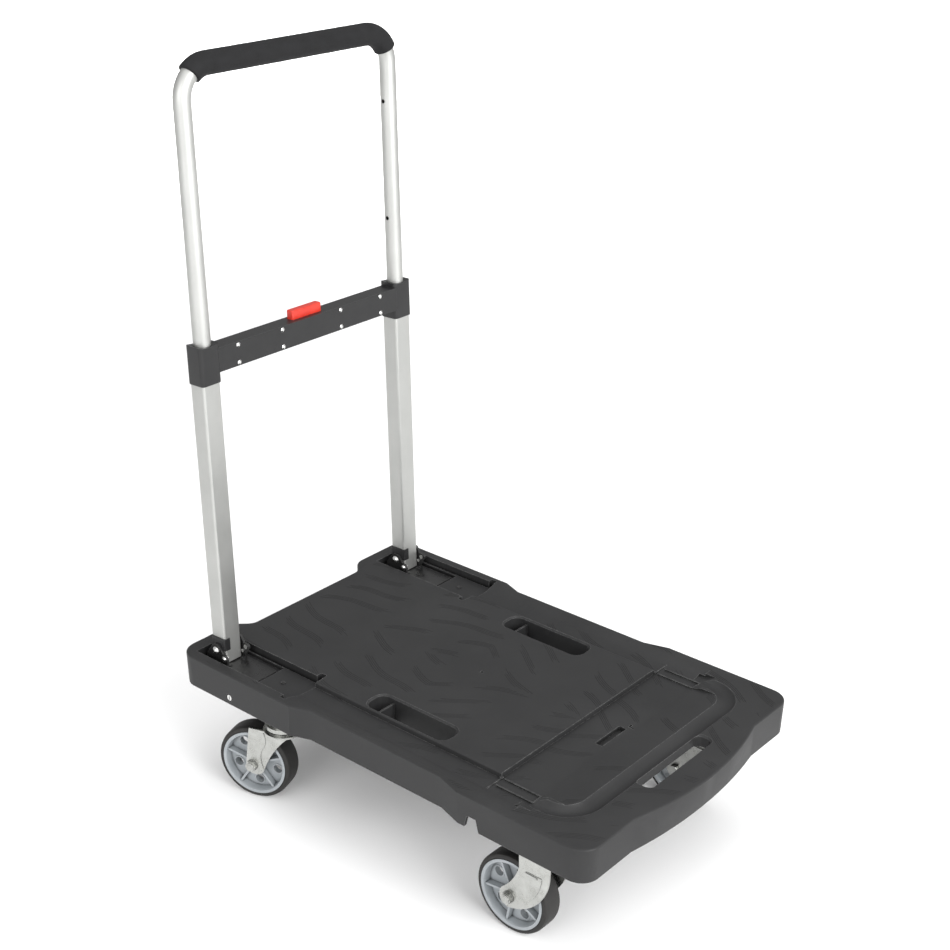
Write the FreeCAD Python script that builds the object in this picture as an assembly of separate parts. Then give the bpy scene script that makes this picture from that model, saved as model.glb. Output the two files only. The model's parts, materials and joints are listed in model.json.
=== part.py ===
"""Folding platform cart: ribbed plastic deck, four caster wheels and a telescoping handle that folds flat.

Frame: millimetres, +Z up, floor at Z = 0, origin under the middle of the whole cart.
The handle stands at the +Y end, the hand slot is at the -Y end, +X is to the right seen from the handle.
Each sub-part is written to parts/NODE.step.
"""
import FreeCAD
import Part

import math
import os

from FreeCAD import Vector as V

os.makedirs("parts", exist_ok=True)

# ---------------------------------------------------------------- driving dimensions
DECK_HALF_WIDTH = 206.5
DECK_WAIST_HALF_WIDTH = 196.8      # between the corner blocks
DECK_REAR = 329.0
DECK_REAR_RECESS = 309.5           # middle of the rear edge
DECK_FRONT = -311.0
DECK_FRONT_BOW = -329.0            # middle of the front grip, at the top
DECK_FRONT_BOW_FOOT = -321.5       # the same, at the bottom edge
DECK_CORNER = 24.0
DECK_TOP = 177.5
SKIRT_BOTTOM = 134.2
SKIRT_DRAFT = 1.4
EDGE_ROUND = 2.6                   # along the deck's upper rim
WALL = 4.0
PLATE_UNDERSIDE = 165.0            # under the sunk tray and channels
CENTRE_UNDERSIDE = 172.5           # under the raised centre

CENTRE_EDGE_X = 149.5              # raised centre's long edge
CHANNEL_OUTER_X = 185.0
CHANNEL_RIM_X = 194.0
CHANNEL_FLOOR = 171.4
BAY_X = (136.0, 193.0)             # wider bay round each hinge
BAY_Y = (143.5, 207.5)
BAY_FLOOR = 168.4                  # beside the hinges, where a folded post's foot rests
BAY_GUTTER = 165.5                 # along both sides of the bay
PIT_FLOOR = 163.4                  # under the hinge brackets
PIT_END_Y = 309.5
RAIL_TOP = 173.3
TRAY_STEP_Y = -149.0
TRAY_FLOOR = 171.6
TRAY_LEVEL_END_Y = -203.0
TRAY_RAMP_END_Y = -236.0

HANDLE_X = 165.2                   # posts, tubes and hinges
PIVOT_Y = 283.5
PIVOT_Z = 183.8
LEAN = math.radians(1.87)          # backward lean of the standing handle

WHEEL_RADIUS = 50.0
TYRE_HALF_WIDTH = 13.5
RIM_HALF_WIDTH = 14.0
CASTER_X = 165.5
MOUNT_PLANE = 122.0                # underside of the deck's caster bosses
FRONT_AXLE_Y = -191.0
FRONT_PLATE_Y = -226.0
KINGPIN_Y = 185.0
TRAIL = 37.0
SWIVEL_ANGLE = math.radians(17.8)

POST_W = 26.5
POST_D = 23.8
POST_WALL = 1.1
TUBE_R = 10.5
TUBE_WALL = 1.0
BEND_R = 38.0
GRIP_R = 14.0
GRIP_AXIS = 714.9                  # along the handle from the hinge pin
GRIP_SWEEP = {-1: 41.0, 1: 63.0}   # degrees of the left and right bend that the foam covers
PIN_STATION = 379.7                # lock pins, along the handle
HOLE_STEPS = (0.0, 102.3, 250.5)   # tube holes, counted from the pins

X = V(1, 0, 0)
Y = V(0, 1, 0)
Z = V(0, 0, 1)


# ---------------------------------------------------------------- small helpers
def box(x0, x1, y0, y1, z0, z1):
    return Part.makeBox(x1 - x0, y1 - y0, z1 - z0, V(x0, y0, z0))


def rod(radius, start, end):
    """Cylinder between two points."""
    axis = end - start
    return Part.makeCylinder(radius, axis.Length, start, axis)


def line(a, b):
    return Part.makeLine(a, b)


def arc(a, middle, b):
    return Part.Arc(a, middle, b).toShape()


def closed(edges):
    return Part.Wire(Part.__sortEdges__(edges))


def fuse(shapes):
    shapes = list(shapes)
    whole = shapes[0].multiFuse(shapes[1:]) if len(shapes) > 1 else shapes[0]
    return whole.removeSplitter()


def group(shapes):
    """Separate solids kept in one node."""
    solids = []
    for shape in shapes:
        solids.extend(shape.Solids)
    return Part.Compound(solids)


def rounded_rect(x0, x1, y0, y1, z, r):
    """Closed wire of a rectangle with round corners at height z."""
    k = r * (1 - math.sqrt(0.5))
    arcs = []
    for x, y, sx, sy in ((x0, y0, 1, 1), (x1, y0, -1, 1), (x1, y1, -1, -1), (x0, y1, 1, -1)):
        on_side = V(x, y + sy * r, z)
        on_end = V(x + sx * r, y, z)
        start, end = (on_side, on_end) if sx == sy else (on_end, on_side)
        arcs.append((start, V(x + sx * k, y + sy * k, z), end))
    edges = []
    for i, (start, middle, end) in enumerate(arcs):
        edges.append(arc(start, middle, end))
        edges.append(line(end, arcs[(i + 1) % 4][0]))
    return closed(edges)


def prism(wire, direction):
    return Part.Face(wire).extrude(direction)


def rounded_box(x0, x1, y0, y1, z0, z1, r):
    return prism(rounded_rect(x0, x1, y0, y1, z0, r), V(0, 0, z1 - z0))


def run_wire(place, runs):
    """Closed wire from runs of (a, b) pairs: two are a line, three an arc. place maps a pair to a point."""
    edges = []
    for run in runs:
        points = [place(a, b) for a, b in run]
        edges.append(line(*points) if len(points) == 2 else arc(*points))
    return closed(edges)


def revolve_x(profile):
    """Solid of revolution about the X axis from (x, radius) points."""
    points = [V(x, 0, r) for x, r in profile]
    wire = Part.makePolygon(points + [points[0]])
    return Part.Face(wire).revolve(V(0, 0, 0), X, 360)


def hexagon(across_flats, start, direction):
    """Hexagonal prism from a start point, in the YZ plane."""
    r = across_flats / math.sqrt(3)
    points = []
    for i in range(6):
        angle = math.pi / 3 * i
        points.append(V(start.x, start.y + r * math.cos(angle), start.z + r * math.sin(angle)))
    return prism(Part.makePolygon(points + [points[0]]), direction)


def moved(shape, offset):
    copy = shape.copy()
    copy.translate(offset)
    return copy


def turned(shape, centre, axis, degrees):
    copy = shape.copy()
    copy.rotate(centre, axis, degrees)
    return copy


def lean(shape):
    """From the upright handle frame (hinge pin at the origin, Z along the post) to its place on the cart."""
    copy = turned(shape, V(0, 0, 0), X, -math.degrees(LEAN))
    copy.translate(V(0, PIVOT_Y, PIVOT_Z))
    return copy


def export(node, shape):
    shape.exportStep("parts/%s.step" % node)


SIDES = {"left": -1, "right": 1}


# ---------------------------------------------------------------- deck
SHOULDER_X = (92.0, 124.0)         # from the rear recess to the rear corner blocks
REAR_BLOCK_Y = (104.0, 131.0)      # from the side waist to the rear corner blocks
FRONT_BLOCK_Y = (-100.0, -132.0)
BOW_START_X = 122.0


def deck_outline(z, inset, bow_y):
    """The deck's plan outline at height z, shrunk by inset, with the front grip bowed out to bow_y."""
    half = DECK_HALF_WIDTH - inset
    waist = DECK_WAIST_HALF_WIDTH - inset
    rear = DECK_REAR - inset
    recess = DECK_REAR_RECESS - inset
    front = DECK_FRONT + inset
    r = DECK_CORNER - inset
    k = r * (1 - math.sqrt(0.5))
    rear_waist, rear_block = REAR_BLOCK_Y
    front_waist, front_block = FRONT_BLOCK_Y

    def side(s):
        """Edges of one half, from the middle of the rear edge to the middle of the front edge."""
        def p(x, y):
            return V(s * x, y, z)

        inner, outer = SHOULDER_X
        shoulder = Part.BSplineCurve()
        shoulder.interpolate([p(inner, recess), p(inner + 15, (recess + rear) / 2), p(outer, rear)],
                             InitialTangent=V(s * 20, 2, 0), FinalTangent=V(s * 20, 2, 0))
        straight = [
            (p(half, rear - r), p(half, rear_block + inset)),
            (p(half, rear_block + inset), p(waist, rear_waist + inset)),
            (p(waist, rear_waist + inset), p(waist, front_waist - inset)),
            (p(waist, front_waist - inset), p(half, front_block - inset)),
            (p(half, front_block - inset), p(half, front + r)),
        ]
        bow_middle = p(BOW_START_X * 0.54, front + (bow_y - front) * 0.72)
        return [
            line(p(0, recess), p(inner, recess)),
            shoulder.toShape(),
            line(p(outer, rear), p(half - r, rear)),
            arc(p(half - r, rear), p(half - k, rear - k), p(half, rear - r)),
            *[line(a, b) for a, b in straight],
            arc(p(half, front + r), p(half - k, front + k), p(half - r, front)),
            line(p(half - r, front), p(BOW_START_X, front)),
            arc(p(BOW_START_X, front), bow_middle, p(0, bow_y)),
        ]

    return closed(side(1) + side(-1))


def deck_body():
    """Drafted outer block with a rounded upper rim."""
    sections = [deck_outline(SKIRT_BOTTOM, SKIRT_DRAFT, DECK_FRONT_BOW_FOOT)]
    for degrees in (0, 30, 60, 90):
        angle = math.radians(degrees)
        inset = EDGE_ROUND * (1 - math.cos(angle))
        z = DECK_TOP - EDGE_ROUND * (1 - math.sin(angle))
        sections.append(deck_outline(z, inset, DECK_FRONT_BOW + inset))
    return Part.makeLoft(sections, True, True)


def deck_cavity():
    """Hollow underside: shallow under the channels, deeper under the raised centre."""
    low = SKIRT_BOTTOM - 5
    inset = WALL + SKIRT_DRAFT
    lower = prism(deck_outline(low, inset, DECK_FRONT - 2), V(0, 0, PLATE_UNDERSIDE - low))
    centre = rounded_box(-138, 138, -140, 292, low, CENTRE_UNDERSIDE, 8)
    return fuse([lower, centre])


LONG_RIB_X = (-100, -50, 0, 50, 100)
CROSS_RIB_Y = (-243, -180, -118, -60, 0, 66, 126, 190, 252)
RIB_HALF_T = 1.4


def deck_ribs():
    """Stiffening grid under the plate, set back from the skirt's bottom edge, shallow near the front slot."""
    bottom = SKIRT_BOTTOM + 4
    shallow = PLATE_UNDERSIDE - 3
    t = RIB_HALF_T
    front_y, *cross_ys = CROSS_RIB_Y
    ribs = [box(-194, 194, front_y - t, front_y + t, shallow, PLATE_UNDERSIDE + 1)]
    for x in LONG_RIB_X:
        ribs.append(box(x - t, x + t, cross_ys[0], 306, bottom, CENTRE_UNDERSIDE))
        ribs.append(box(x - t, x + t, -305, cross_ys[0], shallow, PLATE_UNDERSIDE + 1))
    for y in cross_ys:
        ribs.append(box(-194, 194, y - t, y + t, bottom, PLATE_UNDERSIDE + 1))
    for y in cross_ys[1:]:
        ribs.append(box(-138.5, 138.5, y - t, y + t, bottom, CENTRE_UNDERSIDE))
    return fuse(ribs)


FRONT_PLATE_HALF = (20.0, 21.5)     # its long edges stand out past the cheeks
REAR_PLATE_HALF = (18.0, 40.0)


def caster_bosses():
    """Four solid plinths that the caster plates are screwed to."""
    blocks = []
    for s in SIDES.values():
        for y, (half_x, half_y) in ((FRONT_PLATE_Y, FRONT_PLATE_HALF), (KINGPIN_Y, REAR_PLATE_HALF)):
            x = s * CASTER_X
            blocks.append(rounded_box(x - half_x - 1, x + half_x + 1, y - half_y - 1, y + half_y + 1,
                                      MOUNT_PLANE, PLATE_UNDERSIDE + 1, 5))
    return blocks


def hinge_tubs():
    """Thicker floor and walls under the two hinge bays and pits."""
    inner = BAY_X[0] - 3.5
    outer = BAY_X[1] + 3
    start = BAY_Y[0] - 3
    areas = [
        (inner, outer, start, BAY_Y[1] + 1, BAY_GUTTER - 3),
        (inner, outer, BAY_Y[1] - 4, PIT_END_Y + 3, PIT_FLOOR - 4),
        (inner - 8, inner + 1, start, BAY_Y[0] + 12.5, BAY_GUTTER - 2),
    ]
    tubs = []
    for s in SIDES.values():
        for near, far, y0, y1, bottom in areas:
            x0, x1 = sorted((s * near, s * far))
            tubs.append(box(x0, x1, y0, y1, bottom, DECK_TOP - 3))
    return tubs


HAND_SLOTS = [(-144, -111.5), (111.5, 144)]
HAND_SLOT_Y = (-59, 66)
SLOT_WEB_Y = (47, 49.5)            # thin wall across each side slot
FRONT_SLOT = (-63.0, 63.0, -291.5, -269.0)


def slots():
    """Plan, corner radius and underside of each hand slot's wall."""
    y0, y1 = HAND_SLOT_Y
    rows = [((x0, x1, y0, y1), 12, SKIRT_BOTTOM + 2, CENTRE_UNDERSIDE) for x0, x1 in HAND_SLOTS]
    rows.append((FRONT_SLOT, 8, PLATE_UNDERSIDE - 3, PLATE_UNDERSIDE + 1))
    return rows


def grown(plan, by):
    x0, x1, y0, y1 = plan
    return x0 - by, x1 + by, y0 - by, y1 + by


def slot_collars():
    """Walls round the hand slots, under the plate."""
    return [rounded_box(*grown(plan, 3), low, high, r + 3) for plan, r, low, high in slots()]


def slot_cuts():
    """The three hand slots, with their upper edges eased."""
    cuts = []
    for plan, r, low, high in slots():
        cuts.append(rounded_box(*plan, low - 40, DECK_TOP + 20, r))
        lower = rounded_rect(*plan, DECK_TOP - 2, r)
        upper = rounded_rect(*grown(plan, 2.5), DECK_TOP + 0.5, r + 2.5)
        cuts.append(Part.makeLoft([lower, upper], True, True))
    return cuts


def channel_cuts(s):
    """Trough for one post beside the raised centre, with its deeper bay round the hinge."""
    over = DECK_TOP + 5
    edge = CENTRE_EDGE_X
    crest = DECK_TOP + 0.02
    trough = [
        [(edge - 3.2, over), (edge - 3.2, crest)],
        [(edge - 3.2, crest), (edge - 1.5, DECK_TOP - 0.6), (edge - 0.8, DECK_TOP - 2.4)],
        [(edge - 0.8, DECK_TOP - 2.4), (edge, CHANNEL_FLOOR)],
        [(edge, CHANNEL_FLOOR), (162, CHANNEL_FLOOR)],
        [(162, CHANNEL_FLOOR), (176, CHANNEL_FLOOR + 0.7)],
        [(176, CHANNEL_FLOOR + 0.7), (190, DECK_TOP - 1.2)],
        [(190, DECK_TOP - 1.2), (CHANNEL_RIM_X, DECK_TOP)],
        [(CHANNEL_RIM_X, DECK_TOP), (CHANNEL_RIM_X, over)],
        [(CHANNEL_RIM_X, over), (edge - 3.2, over)],
    ]
    wire = run_wire(lambda x, z: V(s * x, TRAY_LEVEL_END_Y, z), trough)
    cuts = [prism(wire, V(0, BAY_Y[0] + 0.5 - TRAY_LEVEL_END_Y, 0))]
    inner, outer = BAY_X
    gutter = 2.5
    areas = [
        (inner, outer, BAY_Y[0], PIT_END_Y, BAY_FLOOR),
        (inner, inner + gutter, BAY_Y[0], PIT_END_Y, BAY_GUTTER),
        (outer - gutter, outer, BAY_Y[0], PIT_END_Y, BAY_GUTTER),
        (inner + 4, outer - 5, BAY_Y[1], PIT_END_Y, PIT_FLOOR),
    ]
    for x0, x1, y0, y1, floor in areas:
        a, b = sorted((s * x0, s * x1))
        cuts.append(box(a, b, y0, y1, floor, over))
    for x0, x1 in ((inner - 8, inner + 1), (outer - 1, outer + 6.5)):
        a, b = sorted((s * x0, s * x1))
        cuts.append(rounded_box(a, b, BAY_Y[0] + 0.5, BAY_Y[0] + 10, BAY_FLOOR - 0.5, over, 2.5))
    return cuts


def tray_cut():
    """Sunk tray ahead of the raised centre; its floor ramps back up to deck level towards the front."""
    over = DECK_TOP + 5
    outline = [(TRAY_STEP_Y, over), (TRAY_STEP_Y - 1.5, TRAY_FLOOR), (TRAY_LEVEL_END_Y, TRAY_FLOOR),
               (TRAY_RAMP_END_Y, DECK_TOP - 1.0), (-246, DECK_TOP), (-246, over)]
    wire = Part.makePolygon([V(-CENTRE_EDGE_X, y, z) for y, z in outline + [outline[0]]])
    tray = prism(wire, V(2 * CENTRE_EDGE_X, 0, 0))
    slots = []
    for s in SIDES.values():
        ramp = [(TRAY_LEVEL_END_Y + 8, over), (TRAY_LEVEL_END_Y + 8, CHANNEL_FLOOR),
                (TRAY_LEVEL_END_Y, CHANNEL_FLOOR), (-219, DECK_TOP), (-219, over)]
        wire = Part.makePolygon([V(s * (CENTRE_EDGE_X - 0.5), y, z) for y, z in ramp + [ramp[0]]])
        slots.append(prism(wire, V(s * (CHANNEL_OUTER_X - CENTRE_EDGE_X - 2), 0, 0)))
    recess = rounded_box(-24, 24, -197, -187, TRAY_FLOOR - 5, TRAY_FLOOR + 2, 1.5)
    hook = [box(29, 31, -203, -196, TRAY_FLOOR - 1.2, TRAY_FLOOR + 1),
            box(29, 35, -198, -196, TRAY_FLOOR - 1.2, TRAY_FLOOR + 1)]
    return [tray, recess] + hook + slots


GROOVE_Y = -261.3
GROOVE_AXIS_Z = 186.9
GROOVE_R = 14.8


def bend_path(half, straight_end, top, height_axis, radius, straight_from):
    """U-shaped wire: leg, bend, cross run, bend, leg. height_axis maps (x, along) to a point."""
    p = height_axis
    k = radius * math.sqrt(0.5)
    edges = []
    for s in (-1, 1):
        centre_x = s * (half - radius)
        centre_a = top - radius * straight_from
        leg_start = p(s * half, straight_end)
        leg_end = p(s * half, centre_a)
        middle = p(centre_x + s * k, centre_a + k * straight_from)
        run_end = p(centre_x, top)
        edges.append(line(leg_start, leg_end))
        edges.append(arc(leg_end, middle, run_end))
    edges.append(line(p(-(half - radius), top), p(half - radius, top)))
    return closed(edges)


def grip_groove():
    """Round-bottomed U groove that the folded grip and its bends lie in."""
    path = bend_path(HANDLE_X, -196, GROOVE_Y, lambda x, a: V(x, a, GROOVE_AXIS_Z), BEND_R, -1)
    start = path.OrderedVertexes[0].Point
    section = Part.Wire(Part.makeCircle(GROOVE_R, start, Y))
    return path.makePipeShell([section], True, False)


SIDE_SCREW_Y = 238.0
SIDE_SCREW_Z = 143.7


def underside_marks():
    """Hanging notches in the side skirts, screw seats and the gate dimple."""
    marks = []
    for s in SIDES.values():
        x = s * DECK_HALF_WIDTH
        low = SKIRT_BOTTOM - 1
        notch = [(-143, low), (-147, 149), (-150, 150.5), (-160, 150.5), (-164, low)]
        wire = Part.makePolygon([V(x - 7, y, z) for y, z in notch + [notch[0]]])
        marks.append(prism(wire, V(14, 0, 0)))
        seat = V(x - 2.6 * s, SIDE_SCREW_Y, SIDE_SCREW_Z)
        marks.append(rod(5.2, seat, seat + V(6.6 * s, 0, 0)))
    marks.append(rod(2.2, V(3.6, 6.7, DECK_TOP - 1), V(3.6, 6.7, DECK_TOP + 1)))
    return marks


def make_deck():
    body = deck_body().cut(deck_cavity())
    body = body.multiFuse([deck_ribs().common(deck_body())] + slot_collars() + caster_bosses() + hinge_tubs())
    cuts = slot_cuts() + tray_cut() + [grip_groove()] + underside_marks() + deck_screw_holes()
    for s in SIDES.values():
        cuts += channel_cuts(s)
    body = body.cut(fuse(cuts))
    webs = []
    for x0, x1 in HAND_SLOTS:
        webs.append(box(x0 - 1, x1 + 1, *SLOT_WEB_Y, SKIRT_BOTTOM + 6, DECK_TOP - 8))
    return body.multiFuse(tray_rails() + webs).removeSplitter()


def tray_rails():
    """Low rails beside the tray that guide the folded sockets, with a knob and cross ridge at their rear."""
    low = TRAY_FLOOR - 1.5
    rear, front = -155.0, -206.0
    inner, outer = CENTRE_EDGE_X, 164.5
    pieces = []
    for s in SIDES.values():
        for x in (inner, outer):
            pieces.append(box(s * x - 0.9, s * x + 0.9, front, rear, low, RAIL_TOP))
        a, b = sorted((s * (inner - 0.9), s * (outer + 0.9)))
        pieces.append(box(a, b, front - 1.4, front + 0.1, low, RAIL_TOP))
        knob = V(s * inner, -150.5, low)
        pieces.append(rod(2.3, knob, knob + V(0, 0, RAIL_TOP + 0.3 - low)))
        a, b = sorted((s * inner, s * 176))
        pieces.append(box(a, b, -151.2, -149.8, low, CHANNEL_FLOOR + 1.0))
    return pieces


FRONT_PLATE_BOLTS = [(-9, -14), (9, -14), (-9, 14), (9, 14)]
REAR_PLATE_BOLTS = [(-12, -32), (12, -32), (-12, 32), (12, 32)]
BRACKET_SCREWS = [(-11, 267), (11, 267), (-10, 301), (10, 301)]
BAY_SCREW_Y = 183.0


def deck_screw_holes():
    """Blind holes for the caster bolts and the hinge bracket screws."""
    holes = []
    for s in SIDES.values():
        for plate_y, bolts in ((FRONT_PLATE_Y, FRONT_PLATE_BOLTS), (KINGPIN_Y, REAR_PLATE_BOLTS)):
            for dx, dy in bolts:
                foot = V(s * CASTER_X + dx, plate_y + dy, MOUNT_PLANE - 1)
                holes.append(rod(2.6, foot, foot + V(0, 0, 26)))
        seat = V(s * HANDLE_X, BAY_SCREW_Y, BAY_FLOOR)
        holes.append(rod(1.65, seat - V(0, 0, 3.2), seat + V(0, 0, 1)))
        for dx, y in BRACKET_SCREWS:
            foot = V(s * HANDLE_X + dx, y, 150)
            holes.append(rod(2.1, foot, foot + V(0, 0, 20)))
    return holes


# ---------------------------------------------------------------- hinges on the deck
EAR_GAP_OUT = 15.2                 # from the post's middle to the left ear's inner face
EAR_GAP_IN = 14.6                  # and to the right ear's
EAR_T = 2.6
STOP_PIN = (-14.35, -8.0)          # forward and up from the hinge pin, in the leaning handle's frame
BASE_TOP = 166.0


EAR_FOOT = BASE_TOP - 1 - PIVOT_Z
EAR_LEFT = [                       # outlines of the ears as (back, up) from the hinge pin
    [(-19.5, EAR_FOOT), (-20.0, -9.0)],
    [(-20.0, -9.0), (-17.5, -3.5), (-12.0, -1.5)],
    [(-12.0, -1.5), (-7.5, 5.0)],
    [(-7.5, 5.0), (0.0, 9.0), (8.5, 4.0)],
    [(8.5, 4.0), (17.0, -8.0)],
    [(17.0, -8.0), (19.0, EAR_FOOT)],
    [(19.0, EAR_FOOT), (-19.5, EAR_FOOT)],
]
EAR_RIGHT = [
    [(-15.5, EAR_FOOT), (-22.0, -5.0)],
    [(-22.0, -5.0), (-24.0, 0.0), (-21.0, 2.8)],
    [(-21.0, 2.8), (-14.2, 2.8)],
    [(-14.2, 2.8), (-9.5, 11.0)],
    [(-9.5, 11.0), (0.0, 12.0), (8.5, 6.0)],
    [(8.5, 6.0), (17.0, -8.0)],
    [(17.0, -8.0), (19.0, EAR_FOOT)],
    [(19.0, EAR_FOOT), (-15.5, EAR_FOOT)],
]
EAR_RIVET = (-18.5, -1.5)          # locating rivet on the right ear


def ear(runs, x0, x1):
    """One upright plate of a hinge bracket, round over the hinge pin."""
    wire = run_wire(lambda back, up: V(x0, PIVOT_Y + back, PIVOT_Z + up), runs)
    return prism(wire, V(x1 - x0, 0, 0))


def stop_pin_centre():
    back, up = STOP_PIN
    return V(0, PIVOT_Y + back * math.cos(LEAN) + up * math.sin(LEAN), PIVOT_Z - back * math.sin(LEAN) + up)


def make_bracket(s):
    x = s * HANDLE_X
    base = rounded_box(x - 19, x + 18.5, 212.5, 306.5, BASE_TOP - 2.5, BASE_TOP, 3)
    left = ear(EAR_LEFT, x - EAR_GAP_OUT - EAR_T, x - EAR_GAP_OUT)
    right = ear(EAR_RIGHT, x + EAR_GAP_IN, x + EAR_GAP_IN + EAR_T)
    whole = fuse([base, left, right])
    pin = stop_pin_centre()
    drills = [rod(4.0, V(x - 25, PIVOT_Y, PIVOT_Z), V(x + 25, PIVOT_Y, PIVOT_Z))]
    drills.append(rod(2.25, V(x - 25, pin.y, pin.z), V(x + 25, pin.y, pin.z)))
    back, up = EAR_RIVET
    drills.append(rod(1.65, V(x, PIVOT_Y + back, PIVOT_Z + up), V(x + 25, PIVOT_Y + back, PIVOT_Z + up)))
    for dx, y in BRACKET_SCREWS:
        drills.append(rod(2.2, V(x + dx, y, 160), V(x + dx, y, 170)))
    return whole.cut(fuse(drills))


def rivet_head(face, way, y, z, radius):
    """Low domed head on a plate face that looks along way."""
    disc = rod(radius, V(face, y, z), V(face + way * 0.9, y, z))
    dome = Part.makeSphere(radius * 1.25, V(face + way * (0.9 - radius * 0.75), y, z))
    x0, x1 = sorted((face + way * 0.9, face + way * 12))
    return disc.fuse(dome.common(box(x0, x1, y - 9, y + 9, z - 9, z + 9)))


def make_hinge_pin(s):
    """Cross pin with a domed head outside each ear."""
    left = s * HANDLE_X - EAR_GAP_OUT - EAR_T
    right = s * HANDLE_X + EAR_GAP_IN + EAR_T
    body = rod(3.95, V(left, PIVOT_Y, PIVOT_Z), V(right, PIVOT_Y, PIVOT_Z))
    heads = [rivet_head(left, -1, PIVOT_Y, PIVOT_Z, 5.4), rivet_head(right, 1, PIVOT_Y, PIVOT_Z, 5.4)]
    return fuse([body] + heads)


def make_stop_pins():
    """Short studs on both ears, in front of the post's foot, and the locating rivet of each right ear."""
    pin = stop_pin_centre()
    back, up = EAR_RIVET
    y = PIVOT_Y + back
    z = PIVOT_Z + up
    tip = 11.9
    studs = []
    for s in SIDES.values():
        x = s * HANDLE_X
        left = x - EAR_GAP_OUT - EAR_T
        right = x + EAR_GAP_IN + EAR_T
        for face, way, end in ((left, -1, x - tip), (right, 1, x + tip)):
            shank = rod(2.2, V(face, pin.y, pin.z), V(end, pin.y, pin.z))
            studs.append(fuse([shank, rivet_head(face, way, pin.y, pin.z, 4.0)]))
        inner = rod(2.9, V(x + EAR_GAP_IN - 1.0, y, z), V(x + EAR_GAP_IN, y, z))
        outer = rivet_head(right, 1, y, z, 2.9)
        studs.append(fuse([inner, rod(1.6, V(x + EAR_GAP_IN, y, z), V(right, y, z)), outer]))
    return group(studs)


def pan_screw(foot, length, shank, head):
    """Upright screw with a low domed head whose seat is at foot."""
    body = rod(shank, foot - V(0, 0, length), foot)
    cap = rod(head, foot, foot + V(0, 0, 1.4))
    cross = fuse([box(foot.x - 2.2, foot.x + 2.2, foot.y - 0.5, foot.y + 0.5, foot.z + 0.7, foot.z + 2),
                  box(foot.x - 0.5, foot.x + 0.5, foot.y - 2.2, foot.y + 2.2, foot.z + 0.7, foot.z + 2)])
    return fuse([body, cap]).cut(cross)


def make_bracket_screws():
    screws = []
    for s in SIDES.values():
        for dx, y in BRACKET_SCREWS:
            screws.append(pan_screw(V(s * HANDLE_X + dx, y, BASE_TOP), 12, 2.05, 3.2))
    return group(screws)


def make_deck_screws():
    """One screw in each side skirt, below the hinge, and one in each bay floor."""
    screws = []
    for s in SIDES.values():
        x = s * (DECK_HALF_WIDTH - 2.6)
        head = rod(3.9, V(x, SIDE_SCREW_Y, SIDE_SCREW_Z), V(x + s * 1.4, SIDE_SCREW_Y, SIDE_SCREW_Z))
        x0, x1 = sorted((x + s * 0.7, x + s * 2.2))
        slot = box(x0, x1, SIDE_SCREW_Y - 0.5, SIDE_SCREW_Y + 0.5, SIDE_SCREW_Z - 3, SIDE_SCREW_Z + 3)
        screws.append(head.cut(slot))
        screws.append(pan_screw(V(s * HANDLE_X, BAY_SCREW_Y, BAY_FLOOR), 3, 1.6, 3.0))
    return group(screws)


# ---------------------------------------------------------------- hinge bars inside the posts
def make_hinge_bar(s):
    """Bar that turns on the hinge pin; the post slides on it."""
    eye = rod(8.0, V(-9.9, 0, 0), V(9.9, 0, 0))
    shaft = box(-9.9, 9.9, -4.5, 8.0, 0, 84)
    nose = shaft.makeChamfer(1.2, [e for e in shaft.Edges if e.BoundBox.ZMin > 83.9])
    bar = fuse([eye, nose])
    bar = bar.cut(rod(4.0, V(-20, 0, 0), V(20, 0, 0)))
    return moved(lean(bar), V(s * HANDLE_X, 0, 0))


# ---------------------------------------------------------------- lower handle
def tube_section(width, depth, r, z0, z1):
    return rounded_box(-width / 2, width / 2, -depth / 2, depth / 2, z0, z1, r)


POST_FOOT = -16.6
POST_HEAD = 392.5


def make_post(s):
    outer = tube_section(POST_W, POST_D, 3.0, POST_FOOT, POST_HEAD)
    inner = tube_section(POST_W - 2 * POST_WALL, POST_D - 2 * POST_WALL, 1.9, POST_FOOT - 1, POST_HEAD + 1)
    pin_slot = fuse([rod(4.4, V(-20, 0, 0), V(20, 0, 0)), box(-20, 20, -4.4, 4.4, POST_FOOT - 2, 0)])
    inward = V(-s * 20, 0, PIN_STATION)
    lock_hole = rod(2.8, V(0, 0, PIN_STATION), inward)
    post = outer.cut(fuse([inner, pin_slot, lock_hole]))
    return moved(lean(post), V(s * HANDLE_X, 0, 0))


def make_shoe(s):
    """Black cover on the left face of a post foot that wraps its front corner."""
    x0 = -POST_W / 2 - 1.5
    y0 = -POST_D / 2 - 1.5
    plate = rounded_box(x0, -POST_W / 2 + 8, y0, POST_D / 2 - 1, 1.0, 17.0, 1.2)
    room = tube_section(POST_W + 0.02, POST_D + 0.02, 3.0, -2, 20)
    side = plate.cut(room)
    keep = fuse([box(x0 - 1, -POST_W / 2, y0 - 1, 20, -2, 20),
                 box(x0 - 1, -POST_W / 2 + 8, y0 - 1, 0, -2, 20)])
    trimmed = side.common(keep)
    pieces = sorted(trimmed.Solids, key=lambda piece: piece.Volume)
    shoe = pieces[-1].cut(rod(6.6, V(-20, 0, 0), V(0, 0, 0)))
    largest = sorted(shoe.Solids, key=lambda piece: piece.Volume)[-1]
    return moved(lean(largest), V(s * HANDLE_X, 0, 0))


SOCKET_HALF_W = 15.2
SOCKET_HALF_D = 13.6
SOCKET_FOOT = 350.0
SOCKET_HEAD = 400.5
BAR_FOOT = 362.5
BAR_HEAD = 392.5
BAR_FRONT = -13.5
BAR_BACK = 10.0
RIVETS = [(x, z) for x in (-122, -50, 50, 122) for z in (366.6, 388.4)]
BUTTON_HALF = (25.0, 5.6)


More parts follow.
